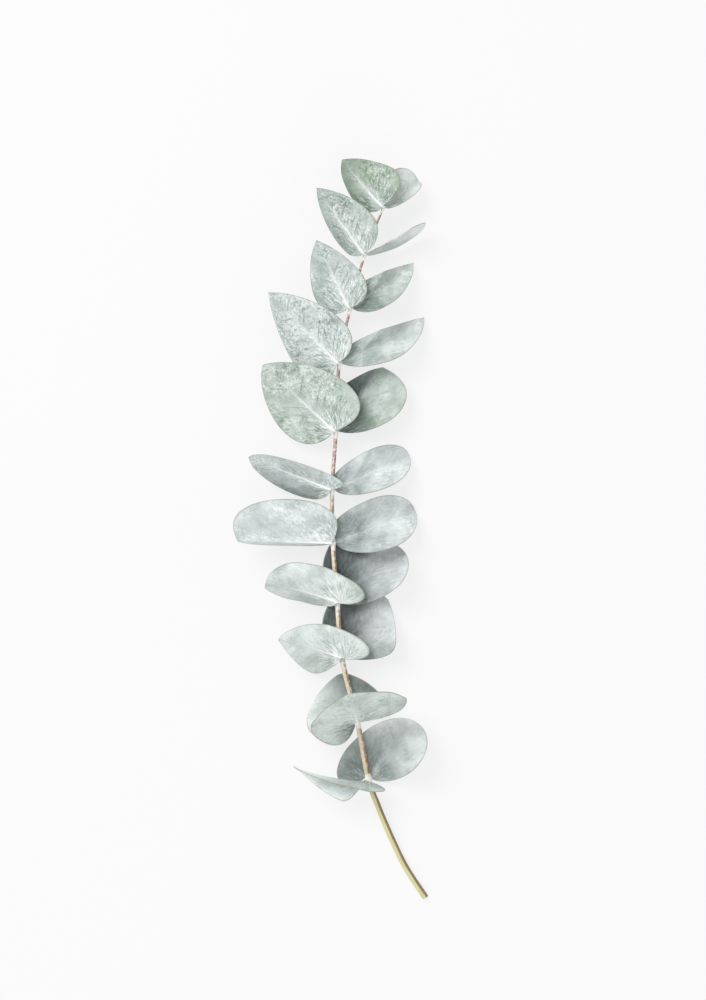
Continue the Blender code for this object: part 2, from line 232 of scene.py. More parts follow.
# The wax on the two faces of a leaf. Reaches and widths are in millimetres, from the foot or the midrib,
# apart from the rib's, which is a share. The rest are weights.
FACES = {
    "leaf under face": {
        "fan": 0.36, "fan_reach": 21,  # streaks that fan out from the foot
        "fleck": 0.6,
        # Less wax towards the foot: partly thinner wax there and partly painted shade of the stem and the
        # leaves above.
        "bare": -0.06, "bare_reach": 20,  # thin wax beside the stem
        "speck": 0.8,
        "net": 0.22,
        "vein": 1, "vein_relief": 0.8,
        "gathered": 1.1, "gathered_width": 5, "gathered_reach": 28,  # wax along the foot of the midrib
        "foot_vein": 0.6,
        "rib": 0.8, "rib_reach": 0.78,
    },
    "leaf upper face": {
        "fan": 0.16, "fan_reach": 30,
        "fleck": 0.3,
        # Less wax towards the foot: partly thinner wax there and partly painted shade of the stem and the
        # leaves above.
        "bare": -0.42, "bare_reach": 24,
        "speck": 0.35,
        "net": 0.08,
        "vein": 0.25, "vein_relief": -0.5,
        "gathered": 0.5, "gathered_width": 2.5, "gathered_reach": 18,
        "foot_vein": 0.3,
        "rib": 0.3, "rib_reach": 0.5,
    },
}
TINGE_SIZE = 7 * MM
EASED = {"interpolation_type": "SMOOTHSTEP"}

# Where the camera and the lamps stand, in metres.
CAMERA_PLACE = (9.65 * MM, 14.75 * MM, 1086.1 * MM)
KEY_PLACE = (-1.1, 1.1, 1.7)
FILL_PLACE = (0.2, -1.5, 1.0)


def linear(code):
    """A linear colour from an sRGB hex code."""
    value = np.array([int(code[i : i + 2], 16) for i in (1, 3, 5)]) / 255
    return tuple(np.where(value <= 0.04045, value / 12.92, ((value + 0.055) / 1.055) ** 2.4))


def size(name, description, default):
    """A length that a user may change, given in millimetres."""
    return FloatProperty(
        name=name, description=description, default=default * MM, unit="LENGTH", precision=5
    )


def tint(name, description, default):
    """A colour that a user may change, given as an sRGB hex code."""
    return FloatVectorProperty(
        name=name, description=description, default=linear(default), subtype="COLOR"
    )


def smooth(x):
    """An eased step from 0 to 1."""
    x = np.clip(x, 0, 1)
    return x * x * (3 - 2 * x)


def stem_curve(steps):
    """The stem's axis points and radii, smooth through every row of STEM."""
    rows = np.array(STEM)
    before = np.vstack([2 * rows[0] - rows[1], rows[:-1]])
    after = np.vstack([rows[1:], 2 * rows[-1] - rows[-2]])
    slope = (after - before) / 2
    found = []
    for i in range(len(rows) - 1):
        for u in np.arange(steps) / steps:
            found.append(
                rows[i] * (2 * u**3 - 3 * u**2 + 1)
                + slope[i] * (u**3 - 2 * u**2 + u)
                + rows[i + 1] * (3 * u**2 - 2 * u**3)
                + slope[i + 1] * (u**3 - u**2)
            )
    found.append(rows[-1])
    found = np.array(found)
    return found[:, :3], found[:, 3] / 2


AXIS, RADIUS = stem_curve(24)
LEAN = np.gradient(AXIS[:, 0], AXIS[:, 1])


def clear_of_stem(points, side, under):
    """Leaves in front of the stem pass over it and leaves behind pass under it."""
    y = points[..., 1]
    across = (points[..., 0] - np.interp(y, AXIS[:, 1], AXIS[:, 0])) / np.hypot(
        1, np.interp(y, AXIS[:, 1], LEAN)
    )
    beyond = np.maximum(y - AXIS[-1, 1], 0)
    reach = np.interp(y, AXIS[:, 1], RADIUS) + LEAF_TO_STEM + JOINT_SWELLING
    u = np.hypot(across, beyond) / reach
    past = np.maximum(u, 1)
    wall = side * np.interp(y, AXIS[:, 1], AXIS[:, 2]) + reach
    if side > 0:
        drop = np.where(across < 0, HANG * (past**2 - 1), SPREAD * (past - 1))
        wall = wall - reach * drop
    else:
        wall = wall - RISE * np.maximum(across - under, 0) ** 2
    height = side * points[..., 2]
    height = wall + 0.5 * ((height - wall) + np.sqrt((height - wall) ** 2 + STEM_BLEND**2))
    points[..., 2] = side * height


def leaf_points(leaf, joint, radius, side, t, s):
    """Points of the leaf's middle surface, and where they lie on the flattened blade. t runs from the foot to
    the point and s from margin to margin."""
    tip = np.array(leaf["tip"], float)
    chord = np.linalg.norm(tip)
    left = s >= 0

    def half(name):
        return np.where(left, leaf[name][0], leaf[name][1])

    along = np.linspace(0, 1, SPINE_STEPS + 1)
    bend = np.radians(leaf["curl"]) * smooth((along - CURL_START) / (1 - CURL_START))
    middle = (bend[1:] + bend[:-1]) / 2
    spine_x = np.concatenate([[0], np.cumsum(np.cos(middle))]) / SPINE_STEPS
    spine_z = np.concatenate([[0], np.cumsum(np.sin(middle))]) / SPINE_STEPS
    length = chord / np.hypot(spine_x[-1], spine_z[-1])
    dip = np.arctan2(spine_z[-1], spine_x[-1])

    phi = np.pi * t
    near = (1 + np.cos(phi)) / 2
    far = (1 - np.cos(phi)) / 2
    edge_x = far - np.sin(phi) * (half("lobe") * near + half("acute") * far)
    edge_x = edge_x - half("ear") * np.sqrt(np.abs(np.sin(phi))) * near**4
    edge_y = leaf["width"] / length / 2 * np.sin(phi) * (1 + half("ovate") * np.cos(phi))
    x = far + (edge_x - far) * np.abs(s)
    reach = edge_y * np.abs(s) * np.where(left, 1 + leaf["skew"], 1 - leaf["skew"])
    half_width = leaf["width"] / length / 2
    fold = np.radians(half("fold")) * (1 - leaf["fade"] * smooth(x))
    cup = np.radians(half("cup")) / half_width
    cup = np.where(np.abs(cup) < 1e-6, 1e-6, cup)
    y = (np.sin(fold + cup * reach) - np.sin(fold)) / cup * np.where(left, 1, -1)
    rise = (np.cos(fold) - np.cos(fold + cup * reach)) / cup
    sharp = np.abs(np.sin(fold)) * reach
    crease = np.abs(np.sin(np.radians(leaf["fold"]))).mean()
    soft = ROUNDING * crease * half_width * np.sin(phi)
    rise = rise + np.sign(sum(leaf["fold"])) * (np.sqrt(sharp**2 + soft**2) - sharp)
    ripple = np.sin(4 * np.pi * x + np.where(left, 0, OTHER_HALF_TURN))
    rise = rise + leaf["wave"] / length * (reach / half_width) ** 2 * ripple

    here = np.interp(x, along, bend)
    before = np.minimum(x, 0)
    after = np.maximum(x - 1, 0)
    out = np.interp(x, along, spine_x) + before * np.cos(bend[0]) + after * np.cos(bend[-1])
    up = np.interp(x, along, spine_z) + before * np.sin(bend[0]) + after * np.sin(bend[-1])
    out = out - np.sin(here) * rise
    up = up + np.cos(here) * rise
    out, up = out * np.cos(dip) + up * np.sin(dip), up * np.cos(dip) - out * np.sin(dip)

    forward = tip / chord
    face = np.array([0, 0, 1]) - forward * forward[2]
    face = face / np.linalg.norm(face)
    left_way = np.cross(face, forward)
    roll = np.radians(leaf["roll"])
    left_way, face = (
        np.cos(roll) * left_way + np.sin(roll) * face,
        np.cos(roll) * face - np.sin(roll) * left_way,
    )
    seat = np.radians(leaf["seat"])
    foot = joint + (radius + LEAF_TO_STEM) * np.array([np.cos(seat), 0, np.sin(seat)])
    points = foot + length * (
        out[..., None] * forward + y[..., None] * left_way + up[..., None] * face
    )
    clear_of_stem(points, side, leaf["under"])
    low = points[..., 2] - GROUND
    points[..., 2] = GROUND + 0.5 * (low + np.sqrt(low**2 + (GROUND_BLEND / 2) ** 2))
    flat = np.stack([x * length, reach * length * np.where(left, 1, -1)], axis=-1)
    return points, flat


def vein_start(number):
    """Where a lateral vein leaves the midrib."""
    number = number + VEIN_UNEVENNESS * np.sin(VEIN_RHYTHM * number)
    share = number / VEIN_COUNT
    return np.sign(share) * np.abs(share) ** VEIN_CROWDING


NUMBERS = np.linspace(-VEIN_COUNT, 2 * VEIN_COUNT, 600)
STARTS = vein_start(NUMBERS)


def vein_number(t, s):
    """Which lateral vein passes a place on the blade: whole numbers are on a vein. The halves alternate."""
    out = np.abs(s) ** VEIN_BEND
    start = (t - VEIN_SWEEP * out) / (1 - VEIN_STRAIGHTENING * out)
    return np.interp(start, STARTS, NUMBERS) + np.where(s >= 0, 0, 0.5)


def vein_place(number, s):
    """Where a lateral vein runs: the place along the blade for each place across it."""
    out = np.abs(s) ** VEIN_BEND
    start = vein_start(number - np.where(s >= 0, 0, 0.5))
    return start + (VEIN_SWEEP - VEIN_STRAIGHTENING * start) * out


def blade_at(leaf, pair, side, t, s, look):
    """The blade at places t, s: its middle with the relief on it, its face's normal, the way to the left,
    half its thickness, the flattened place, the vein number and the distance between veins there."""
    joint = np.array(STEM[FIRST_JOINT + pair - 1])
    step = 1e-3

    def surface(a, b):
        return leaf_points(leaf, joint[:3], joint[3] / 2, side, a, b)[0]

    middle, flat = leaf_points(leaf, joint[:3], joint[3] / 2, side, t, s)
    along = surface(t + step, s) - surface(t - step, s)
    off_rib = np.abs(s) > step
    inner = np.where(off_rib, s * (1 - step), step)
    outer = np.where(off_rib, s * (1 + step), -step)
    across = surface(t, outer) - surface(t, inner)
    across = across * np.where(off_rib, np.sign(s), -1)[..., None]
    normal = np.cross(along, across)
    normal = normal / np.linalg.norm(normal, axis=-1, keepdims=True)
    across = across / np.linalg.norm(across, axis=-1, keepdims=True)

    number = vein_number(t, s)
    per_step = np.abs(vein_number(t + step, s) - vein_number(t - step, s))
    gap = np.linalg.norm(along, axis=-1) / np.maximum(per_step, step)
    turn = np.random.default_rng(2 * pair + (side > 0)).uniform(0, 2 * np.pi, 4)
    x, y = flat[..., 0], flat[..., 1]
    mottling = leaf["finish"][1]
    keel = look.keel / MM * np.exp(-((y / KEEL_WIDTH) ** 2)) * (1 - KEEL_FADE * t)
    inside = smooth(np.abs(y) / CALM_BESIDE_RIB)
    inside = inside * (1 - smooth((np.abs(s) - 1 + CALM_MARGIN) / CALM_MARGIN))
    ending = 1 - smooth((np.abs(s) - QUILT_START) / QUILT_LENGTH)
    quilt = look.quilting / MM * (0.4 + mottling) * inside * ending * np.cos(2 * np.pi * number)
    # Two uneven swells, 10 to 25 mm from crest to crest.
    buckle = np.sin(x / 3.9 + turn[0]) * np.sin(y / 3.1 + turn[1])
    buckle = buckle + 0.6 * np.sin(x / 2.1 + y / 2.7 + turn[2]) * np.sin(y / 1.7 - x / 3.3 + turn[3])
    relief = side * (keel + quilt) + look.buckling / MM * (0.5 + mottling) * inside * buckle

    thick = look.margin_thickness + (look.thickness - look.margin_thickness) * (1 - s**4)
    return middle + relief[..., None] * normal, normal, across, thick / MM / 2, flat, number, gap


def feed(tree, node, values):
    """Fills a node's inputs, by name or in their order, with numbers, colours, or the nodes or sockets that
    feed them."""
    sockets = [socket for socket in node.inputs if socket.enabled]
    if not isinstance(values, dict):
        values = dict(enumerate(values))
    for key, value in values.items():
        socket = sockets[key] if isinstance(key, int) else next(s for s in sockets if s.name == key)
        if isinstance(value, bpy.types.Node):
            value = next(s for s in value.outputs if s.enabled)
        if isinstance(value, bpy.types.NodeSocket):
            tree.links.new(value, socket)
        elif socket.type == "RGBA":
            socket.default_value = (*value[:3], 1)
        else:
            socket.default_value = value


def add(tree, kind, values=(), **settings):
    """Adds a node with its settings and links. values go into its inputs."""
    made = tree.nodes.new(kind)
    for name, value in settings.items():
        setattr(made, name, value)
    feed(tree, made, values)
    return made


def new_material(name):
    """An empty material, its node tree, its shader, and the place on the piece."""
    material = bpy.data.materials.new(name)
    material.use_nodes = True
    tree = material.node_tree
    tree.nodes.clear()
    shader = tree.nodes.new("ShaderNodeBsdfPrincipled")
    output = tree.nodes.new("ShaderNodeOutputMaterial")
    tree.links.new(shader.outputs[0], output.inputs["Surface"])
    return material, tree, shader, add(tree, "ShaderNodeTexCoord").outputs["Object"]


def stored(tree, name):
    """The three numbers that a mesh stores under this name."""
    whole = add(tree, "ShaderNodeAttribute", attribute_name=name).outputs["Vector"]
    return add(tree, "ShaderNodeSeparateXYZ", [whole]).outputs


def margin_colour(tree, place, look):
    """Green, going reddish brown in places."""
    noise = add(tree, "ShaderNodeTexNoise", {"Vector": place, "Scale": 1 / TINGE_SIZE, "Detail": 2})
    tinge = add(tree, "ShaderNodeMapRange", [noise, 0.46, 0.58], **EASED)
    return add(tree, "ShaderNodeMix", [tinge, look.margin_green, look.margin_red], data_type="RGBA")


def leaf_face(name, look):
    """Eucalyptus leaf under a wax bloom that grew as a fine powder. Thick wax reads as a matt, bluish white
    film; where it is thin or rubbed off, the grey-green blade shows in flecks and along the veins. The under
    face has thicker, more broken wax and pale ribs, the upper face a smoother film with faint streaks."""
    material, tree, shader, place = new_material(name)
    face = FACES[name]
    whole = add(tree, "ShaderNodeAttribute", attribute_name="blade").outputs["Vector"]
    flat = add(tree, "ShaderNodeVectorMath", [whole, (1, 1, 0)], operation="MULTIPLY")
    reach = add(tree, "ShaderNodeVectorMath", [flat], operation="LENGTH")
    ahead, aside, to_margin = stored(tree, "blade")
    number, gap, run = stored(tree, "veins")
    wax, mottling, green = stored(tree, "finish")
    # Painted shade: the blade darkens towards the stem and on one half, standing for the shadow of the stem
    # and the leaves above.
    painted_shade_depth, painted_shade_reach, painted_shade_half = stored(tree, "painted_shade")
    off_rib = add(tree, "ShaderNodeMath", [aside], operation="ABSOLUTE")
    painted_shade_side = add(tree, "ShaderNodeMath", [aside, painted_shade_half], operation="MULTIPLY")

    # Distance to the nearest lateral vein, in millimetres.
    off_vein = add(tree, "ShaderNodeMath", [number, 0.5], operation="ADD")
    off_vein = add(tree, "ShaderNodeMath", [off_vein], operation="FRACT")
    off_vein = add(tree, "ShaderNodeMath", [off_vein, 0.5], operation="SUBTRACT")
    off_vein = add(tree, "ShaderNodeMath", [off_vein], operation="ABSOLUTE")
    off_vein = add(tree, "ShaderNodeMath", [off_vein, gap], operation="MULTIPLY")

    # Some streaks fan out from the foot, in each leaf's own way, and others follow the lateral veins.
    from_behind = add(tree, "ShaderNodeMath", [ahead, 2.5], operation="ADD")
    turn = add(tree, "ShaderNodeMath", [aside, from_behind], operation="ARCTAN2")
    fan_run = add(tree, "ShaderNodeMath", [reach, 0.022], operation="MULTIPLY")
    own = add(tree, "ShaderNodeMath", [wax, 40, green], operation="MULTIPLY_ADD")
    fan_place = add(tree, "ShaderNodeCombineXYZ", [turn, fan_run, own])
    streak_run = add(tree, "ShaderNodeMath", [run, 0.7], operation="MULTIPLY")
    streak_place = add(tree, "ShaderNodeCombineXYZ", [number, streak_run])
    clump_place = add(tree, "ShaderNodeVectorMath", [place, (0.031, 0.017, 0.023)], operation="ADD")
    speck_place = add(tree, "ShaderNodeVectorMath", [place, (0.013, 0.041, 0.029)], operation="ADD")

    # Each noise has its place, scale, detail, roughness and distortion. Wax drifts over 9 mm and lies in
    # patches of 1.9 mm. Its flecks of 0.85 mm and the bare specks of 1 mm are coarser than the powder is, so
    # that they show.
    noises = {
        "fan": (fan_place, 15, 3, 0.6, 0.2),
        "streak": (streak_place, 4.4, 4, 0.62, 0),
        "drift": (place, 1 / (9 * MM), 2, 0.5, 0),
        "patch": (place, 1 / (1.9 * MM), 4, 0.62, 0.3),
        "fleck": (place, 1 / (0.85 * MM), 3, 0.7, 0),
        "clump": (clump_place, 1 / (8 * MM), 1, 0.5, 0),
        "speck": (speck_place, 1 / (1.0 * MM), 3, 0.6, 0.4),
        "speck zone": (speck_place, 1 / (8.5 * MM), 2, 0.6, 0),
    }
    labels = ("Vector", "Scale", "Detail", "Roughness", "Distortion")
    noise = {key: add(tree, "ShaderNodeTexNoise", dict(zip(labels, row))) for key, row in noises.items()}
    # The net between the veins, drawn 1.5 mm wide so that it shows: its meshes are filled with thinner wax.
    net = add(
        tree, "ShaderNodeTexVoronoi",
        {"Vector": place, "Scale": 1 / (1.5 * MM), "Randomness": 1}, feature="DISTANCE_TO_EDGE",
    )

    # Each ramp has what it follows, where it starts and ends there, and its values at its start and end,
    # which are 0 and 1 where they aren't given.
    even_ramps = {
        "fan": (noise["fan"], 0.36, 0.62, -1, 1),
        "streak": (noise["streak"], 0.3, 0.7, -0.3, 0.3),
        "drift": (noise["drift"], 0.3, 0.7, -0.26, 0.26),
        "patch": (noise["patch"], 0.3, 0.7, -0.24, 0.24),
        "fleck": (noise["fleck"], 0.35, 0.65, -0.5, 0.5),
        "dusk streaks": (noise["fan"], 0.36, 0.64, 1.04, 0.94),
        "vein drift": (noise["drift"], 0.38, 0.62, 0.4, face["vein"]),
        "vein end": (run, 0.6, 1.7, 1, 0),
        "vein mottling": (mottling, 0.3, 0.75, 0.25, 1),
        "rib end": (run, 0.1, face["rib_reach"], face["rib"], 0),
    }
    eased_ramps = {
        "fan reach": (reach, 1, face["fan_reach"], 1, 0),
        "clump": (noise["clump"], 0.4, 0.6, 0.15, 1.2),
        # Thinner wax towards the foot, which is partly painted shade.
        "bare": (ahead, 3, face["bare_reach"], face["bare"], 0),
        "speck": (noise["speck"], 0.54, 0.62),
        "speck zone": (noise["speck zone"], 0.48, 0.64, 0.1),
        # Ramps of the painted shade: towards the stem, across the blade and on one half.
        "painted_shade": (reach, 3, painted_shade_reach, 1, 0),
        "dusk across": (aside, -10, 9, 0.5, 1.2),
        "dusk half": (painted_shade_side, -2, 10),
        "dusk half end": (ahead, 22, 46, 0.95, 0),
        "net": (net, 0.02, 0.22, 0, 1),
        "vein": (off_vein, 0.14, 0.5, 1, 0),
        "gathered across": (off_rib, 0.3, face["gathered_width"], 1, 0),
        "gathered along": (ahead, 2, face["gathered_reach"], 1, 0),
        # Dark strokes between the white streaks at the foot, drawn in the vein colour.
        "dark foot streak": (noise["fan"], 0.39, 0.47, 0.8, 0),
        "foot vein": (noise["fan"], 0.54, 0.61),
        "foot reach": (reach, 1.5, 15, face["foot_vein"], 0),
        "rib": (off_rib, 0.25, 0.8, 1, 0),
        "margin": (to_margin, 0.25, 0.75, 1, 0),
    }
    even = {key: add(tree, "ShaderNodeMapRange", row) for key, row in even_ramps.items()}
    eased = {key: add(tree, "ShaderNodeMapRange", row, **EASED) for key, row in eased_ramps.items()}

    # Each share is everything in its row, multiplied.
    fan_weight = add(tree, "ShaderNodeMath", [mottling, 0.75, 0.25], operation="MULTIPLY_ADD")
    rib_weight = add(tree, "ShaderNodeMath", [mottling, 0.9, 0.3], operation="MULTIPLY_ADD")
    shares = {
        "fan": (eased["fan reach"], fan_weight, even["fan"]),
        "clump": (eased["clump"], mottling),
        "speck": (eased["speck"], eased["speck zone"], mottling, face["speck"]),
        "painted_shade": (eased["painted_shade"], eased["dusk across"]),
        "dusk half": (eased["dusk half"], eased["dusk half end"]),
        "net": (eased["net"], mottling, face["net"]),
        "vein": (eased["vein"], even["vein drift"], even["vein end"], even["vein mottling"]),
        "gathered": (eased["gathered across"], eased["gathered along"], noise["fleck"], face["gathered"]),
        "dark foot streak": (eased["dark foot streak"], eased["foot reach"]),
        "foot vein": (eased["foot vein"], eased["foot reach"]),
        "rib": (rib_weight, even["rib end"], eased["rib"]),
        "margin": (eased["margin"], 0.45),
    }
    share = {}
    for key, (product, *factors) in shares.items():
        for factor in factors:
            product = add(tree, "ShaderNodeMath", [product, factor], operation="MULTIPLY")
        share[key] = product
    # The painted shade, broken by streaks.
    painted_shade = add(tree, "ShaderNodeMath", [share["painted_shade"], share["dusk half"]], operation="MAXIMUM")
    for factor in (even["dusk streaks"], painted_shade_depth):
        painted_shade = add(tree, "ShaderNodeMath", [painted_shade, factor], operation="MULTIPLY")

    # Sums of parts and their weights: how broken the wax is, how thick its film, and the relief of it all.
    broken, film, grain = even["patch"], wax, noise["patch"]
    for part, weight in ((even["fleck"], face["fleck"]), (even["streak"], 1.1)):
        broken = add(tree, "ShaderNodeMath", [part, weight, broken], operation="MULTIPLY_ADD")
    for part, weight in (
        (broken, share["clump"]), (even["streak"], 0.22), (eased["bare"], 1), (even["drift"], 1),
        (share["fan"], face["fan"]),
    ):
        film = add(tree, "ShaderNodeMath", [part, weight, film], operation="MULTIPLY_ADD")
    for part, weight in ((noise["fleck"], 0.5), (eased["net"], 0.5), (eased["vein"], face["vein_relief"])):
        grain = add(tree, "ShaderNodeMath", [part, weight, grain], operation="MULTIPLY_ADD")

    # Layers on the bare blade: the film of wax, specks where it is rubbed off, painted shade towards the stem
    # that stands for the shadow of the stem and the leaves above, the net, the veins, wax along the foot of
    # the midrib, dark streaks and white veins that run out of the foot, the midrib and the rubbed margin.
    blade, bloom, bare = [
        add(tree, "ShaderNodeMix", [green, old, young], data_type="RGBA")
        for old, young in (
            (look.blade_colour, look.young_colour), (look.wax_colour, look.young_wax),
            (look.blade_colour, look.speck_colour),
        )
    ]
    colour = blade
    for cover, layer in (
        (film, bloom),
        (share["speck"], bare),
        (painted_shade, look.painted_shade_colour),
        (share["net"], blade),
        (share["vein"], look.vein_colour),
        (share["gathered"], look.wax_colour),
        (share["dark foot streak"], look.vein_colour),
        (share["foot vein"], look.rib_colour),
        (share["rib"], look.rib_colour),
        (share["margin"], margin_colour(tree, place, look)),
    ):
        colour = add(tree, "ShaderNodeMix", [cover, colour, layer], data_type="RGBA")
    feed(tree, shader, {
        "Base Color": colour,
        "Roughness": add(tree, "ShaderNodeMapRange", {"Value": film, "To Min": 0.46, "To Max": 0.72}),
        "Normal": add(tree, "ShaderNodeBump", {"Strength": 0.5, "Distance": 0.12 * MM, "Height": grain}),
        "IOR": 1.45,
        "Specular IOR Level": 0.35,
        "Sheen Weight": 0.12,
        "Sheen Roughness": 0.5,
    })
    return material


def leaf_margin(look):
    """The cut-thin edge of the blade, where no wax stays: green, going reddish brown in places."""
    material, tree, shader, place = new_material("leaf margin")
    feed(tree, shader, {"Base Color": margin_colour(tree, place, look), "Roughness": 0.5})
    return material


def rib_material(look):
    """Leaf rib: a firm pale strand. It is white with wax at the foot and thins to the blade's grey-green."""
    material, tree, shader, place = new_material("leaf rib")
    reach = add(tree, "ShaderNodeAttribute", attribute_name="reach").outputs["Fac"]
    noise = add(tree, "ShaderNodeTexNoise", {"Vector": place, "Scale": 1 / (1.2 * MM), "Detail": 3})
    paling = add(tree, "ShaderNodeMath", [noise, 0.5, reach], operation="MULTIPLY_ADD")
    paling = add(tree, "ShaderNodeMapRange", [paling, 0.3, 1.15], **EASED)
    feed(tree, shader, {
        "Base Color": add(
            tree, "ShaderNodeMix", [paling, look.rib_colour, look.spent_colour], data_type="RGBA"
        ),
        "Roughness": 0.6,
        "Normal": add(tree, "ShaderNodeBump", {"Strength": 0.4, "Distance": 0.1 * MM, "Height": noise}),
    })
    return material


def bark_material(look):
    """Young eucalyptus bark: olive green at the cut end, tan and brown in the middle and rose brown at the
    tip, with faint lengthwise grain, a browner side that is partly painted shade, and a broken film of white
    wax that is thickest at the joints."""
    material, tree, shader, place = new_material("young bark")
    along, to_joint, around = stored(tree, "stem")
    to_tan = add(tree, "ShaderNodeMapRange", [along, 38, 85], **EASED)
    to_rose = add(tree, "ShaderNodeMapRange", [along, 150, 230], **EASED)
    # Lengthwise grain: streaks about 0.6 mm wide and 8 mm long, wider than the real fibres so that they show.
    stretched = add(tree, "ShaderNodeCombineXYZ", [along, around])
    stretched = add(tree, "ShaderNodeVectorMath", [stretched, (0.12, 3.0, 1.0)], operation="MULTIPLY")
    grain = add(
        tree, "ShaderNodeTexNoise", {"Vector": stretched, "Scale": 1.0, "Detail": 4, "Roughness": 0.6}
    )
    streak = add(tree, "ShaderNodeMapRange", [grain, 0.42, 0.66, 0, 0.35], **EASED)
    # The side of the stem away from the key light is browner: partly the bark's own colour, partly painted
    # shade.
    brown_shaded_side = add(tree, "ShaderNodeAttribute", attribute_name="brown_shaded_side").outputs["Fac"]
    brown_shaded_side = add(tree, "ShaderNodeMath", [grain, 0.5, brown_shaded_side], operation="MULTIPLY_ADD")
    brown_shaded_side = add(tree, "ShaderNodeMapRange", [brown_shaded_side, 0.7, 0.98], **EASED)
    streak = add(tree, "ShaderNodeMath", [streak, brown_shaded_side], operation="MAXIMUM")
    # Wax: a thin broken film all over above the first joint and thick at every joint.
    patch = add(
        tree, "ShaderNodeTexNoise",
        {"Vector": place, "Scale": 1 / (1.4 * MM), "Detail": 4, "Roughness": 0.65},
    )
    at_joint = add(tree, "ShaderNodeMapRange", [to_joint, 0.6, 4.2, 0.5, 0], **EASED)
    film = add(tree, "ShaderNodeMapRange", {"Value": to_tan, "To Min": 0.02, "To Max": 0.2})
    for part in (at_joint, patch):
        film = add(tree, "ShaderNodeMath", [film, part], operation="ADD")
    film = add(tree, "ShaderNodeMapRange", [film, 0.62, 0.95, 0, 0.9], **EASED)
    light, dark = look.olive_colour, look.olive_shade
    for share, over_light, over_dark in (
        (to_tan, look.tan_colour, look.brown_colour), (to_rose, look.rose_colour, look.rose_shade)
    ):
        light = add(tree, "ShaderNodeMix", [share, light, over_light], data_type="RGBA")
        dark = add(tree, "ShaderNodeMix", [share, dark, over_dark], data_type="RGBA")
    colour = light
    for cover, layer in ((streak, dark), (film, look.wax_colour)):
        colour = add(tree, "ShaderNodeMix", [cover, colour, layer], data_type="RGBA")
    height = add(tree, "ShaderNodeMath", [grain, 0.6, patch], operation="MULTIPLY_ADD")
    feed(tree, shader, {
        "Base Color": colour,
        "Roughness": add(tree, "ShaderNodeMapRange", {"Value": film, "To Min": 0.5, "To Max": 0.8}),
        "Normal": add(tree, "ShaderNodeBump", {"Strength": 0.6, "Distance": 0.15 * MM, "Height": height}),
    })
    return material


def cut_wood_material(look):
    """Freshly cut green wood: a pale, slightly moist face with a darker pith and a thin ring of bark."""
    material, tree, shader, place = new_material("cut green wood")
    along, outwards, around = stored(tree, "stem")
    pores = add(tree, "ShaderNodeTexNoise", {"Vector": place, "Scale": 1 / (0.25 * MM), "Detail": 3})
    wood = add(tree, "ShaderNodeMix", [pores, look.cut_colour, look.tan_colour], data_type="RGBA")
    colour = look.tan_colour
    for start, end, layer in ((0.2, 0.36, wood), (0.8, 0.92, look.olive_shade)):
        cover = add(tree, "ShaderNodeMapRange", [outwards, start, end], **EASED)
        colour = add(tree, "ShaderNodeMix", [cover, colour, layer], data_type="RGBA")
    feed(tree, shader, {
        "Base Color": colour,
        "Roughness": 0.55,
        "Normal": add(tree, "ShaderNodeBump", {"Strength": 0.4, "Distance": 0.08 * MM, "Height": pores}),
    })
    return material


def wax_material(look):
    """Crusted plant wax: chalky white crumbs, matt, with no colour of their own."""
    material, tree, shader, place = new_material("wax crust")
    noise = add(tree, "ShaderNodeTexNoise", {"Vector": place, "Scale": 1 / (0.8 * MM), "Detail": 2})
    colour = add(tree, "ShaderNodeMix", [noise, look.wax_colour, look.rib_colour], data_type="RGBA")
    feed(tree, shader, {"Base Color": colour, "Roughness": 0.85})
    return material


def table_material(look):
    """Opal acrylic light table, softly lit from below: it reads as an even near-white top with faint,
    slightly cool shadows."""
    material, tree, shader, place = new_material("opal acrylic")
    noise = add(tree, "ShaderNodeTexNoise", {"Vector": place, "Scale": 1 / (2 * MM), "Detail": 2})
    feed(tree, shader, {
        "Base Color": look.floor_colour,
        "Roughness": 0.8,
        "Specular IOR Level": 0,
        "Emission Color": look.glow_colour,
        "Emission Strength": look.glow,
        "Normal": add(tree, "ShaderNodeBump", {"Strength": 0.05, "Distance": 0.02 * MM, "Height": noise}),
    })
    return material


def new_tree(name, sizes):
    """A Geometry Nodes tree with named inputs, which are (name, kind, default); and its two end nodes."""
    tree = bpy.data.node_groups.new(name, "GeometryNodeTree")
    tree.interface.new_socket("Geometry", in_out="OUTPUT", socket_type="NodeSocketGeometry")
    tree.interface.new_socket("Geometry", in_out="INPUT", socket_type="NodeSocketGeometry")
    for label, kind, default in sizes:
        socket = tree.interface.new_socket(label, in_out="INPUT", socket_type="NodeSocket" + kind)
        socket.default_value = default
    return tree, tree.nodes.new("NodeGroupInput").outputs, tree.nodes.new("NodeGroupOutput")


def grow(mesh, tree, values):
    """The plain mesh that a Geometry Nodes tree makes of this one, with these values in its named inputs."""
    carrier = bpy.data.objects.new(mesh.name, mesh)
    bpy.context.scene.collection.objects.link(carrier)
    modifier = carrier.modifiers.new(tree.name, "NODES")
    modifier.node_group = tree
    for item in tree.interface.items_tree:
        if item.in_out == "INPUT" and item.name in values:
            modifier[item.identifier] = values[item.name]
    graph = bpy.context.evaluated_depsgraph_get()
    grown = bpy.data.meshes.new_from_object(
        carrier.evaluated_get(graph), preserve_all_data_layers=True, depsgraph=graph
    )
    carrier.modifiers.remove(modifier)
    bpy.data.objects.remove(carrier)
    return grown


